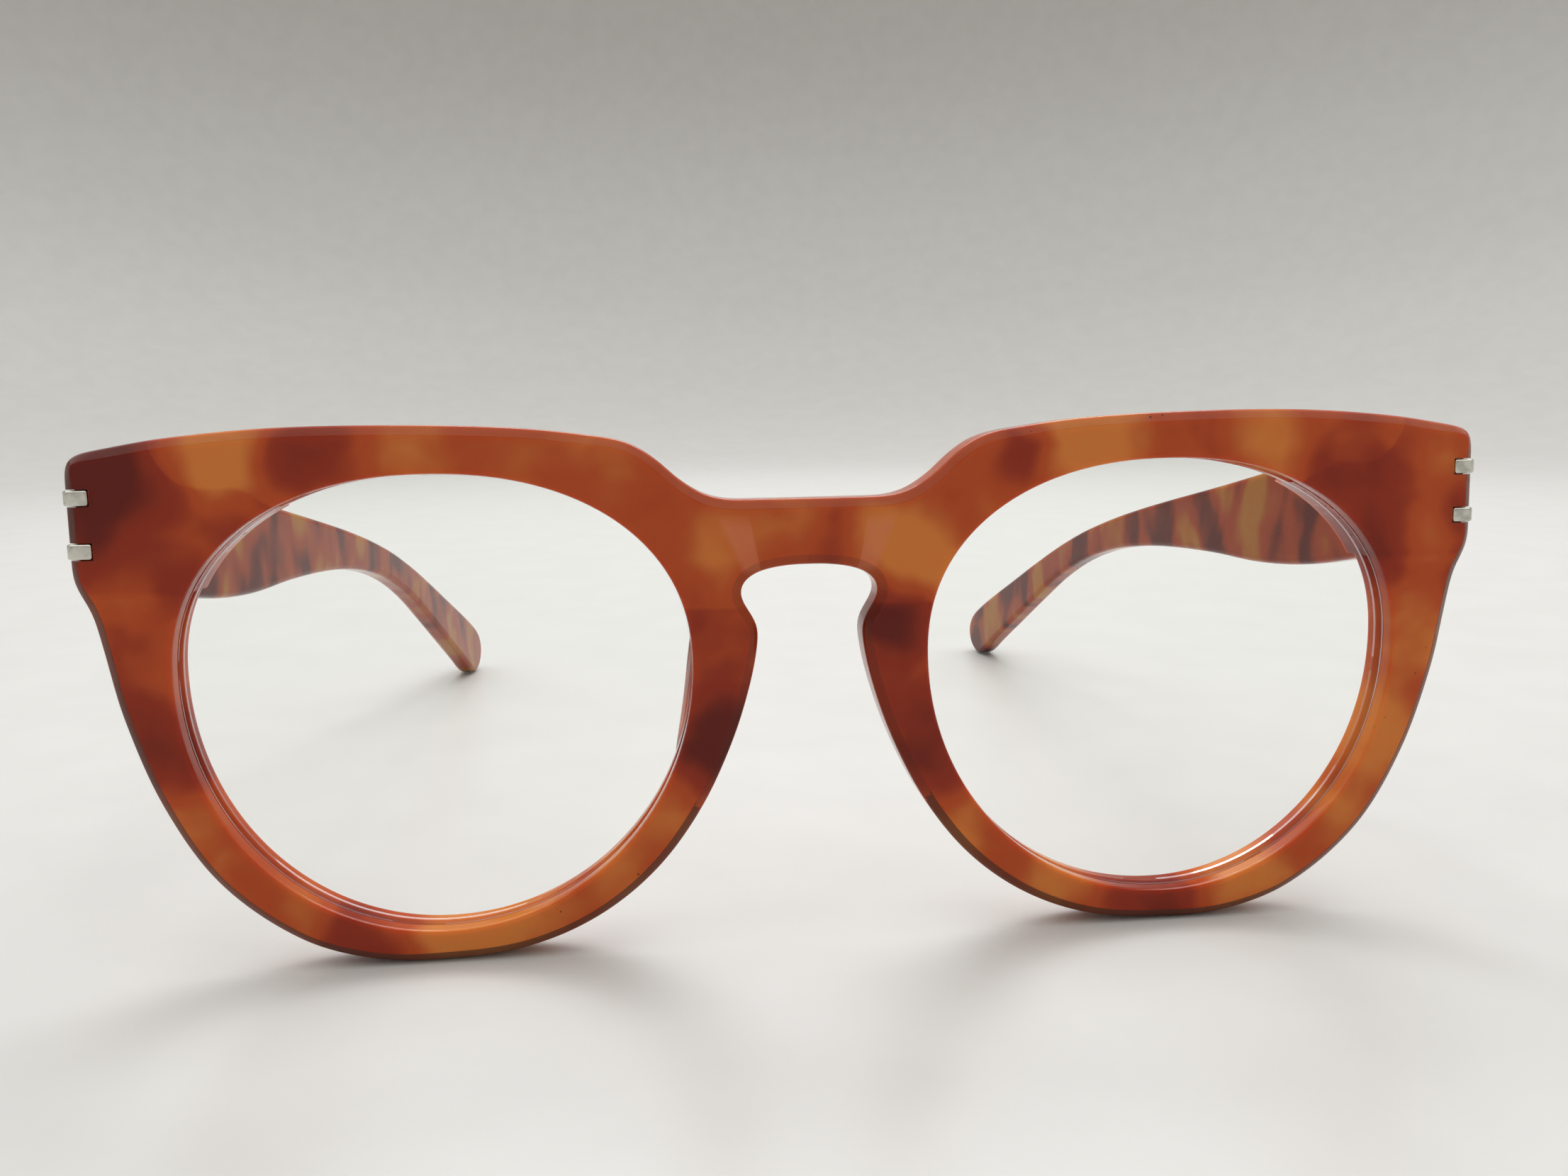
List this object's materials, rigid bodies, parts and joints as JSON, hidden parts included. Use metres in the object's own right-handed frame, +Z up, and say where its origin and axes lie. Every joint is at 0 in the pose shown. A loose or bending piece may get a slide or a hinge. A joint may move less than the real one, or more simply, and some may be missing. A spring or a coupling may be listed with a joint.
{
  "type": "spectacles",
  "caption": "Keyhole-bridge plastic spectacle frame with clear lenses, glued nose pads, metal trim bars and hinged temples that fold flat behind the front.",
  "frame": {"origin": "on the table under the middle of the whole object, midway between the front face at the rim bottoms and the temple tips", "axes": "+X to the right of someone facing the wearer, +Y from the front towards the temple tips, +Z up; temples open"},
  "size_m": [0.1422, 0.1431, 0.0541],
  "materials": {
    "tortoise_acetate": "polished, translucent, blotched amber and mahogany",
    "pad_acetate": "polished",
    "lens_clear": "polished, clear",
    "trim_metal": "satin",
    "hinge_metal": "satin",
    "screw_metal": "bright"
  },
  "bodies": {
    "front": {"frame_front": "tortoise_acetate", "lens_right": "lens_clear", "nose_pad_right": "pad_acetate", "trim_bar_upper_right": "trim_metal", "trim_bar_lower_right": "trim_metal", "front_hinge_right": "hinge_metal", "front_pin_upper_right": "screw_metal", "front_pin_lower_right": "screw_metal", "hinge_screw_right": "screw_metal", "lens_left": "lens_clear", "nose_pad_left": "pad_acetate", "trim_bar_upper_left": "trim_metal", "trim_bar_lower_left": "trim_metal", "front_hinge_left": "hinge_metal", "front_pin_upper_left": "screw_metal", "front_pin_lower_left": "screw_metal", "hinge_screw_left": "screw_metal"},
    "temple_right": {"temple_right": "tortoise_acetate", "temple_hinge_right": "hinge_metal", "temple_pin_upper_right": "screw_metal", "temple_pin_lower_right": "screw_metal"},
    "temple_left": {"temple_left": "tortoise_acetate", "temple_hinge_left": "hinge_metal", "temple_pin_upper_left": "screw_metal", "temple_pin_lower_left": "screw_metal"}
  },
  "joints": [
    {"name": "temple_right_fold", "type": "hinge", "parent": "front", "child": "temple_right", "pos_m": [0.0643, -0.0618, 0.0445], "axis": [0, 0, 1], "range_deg": [0, 83.5]},
    {"name": "temple_left_fold", "type": "hinge", "parent": "front", "child": "temple_left", "pos_m": [-0.0643, -0.0618, 0.0445], "axis": [0, 0, -1], "range_deg": [0, 78]}
  ]
}
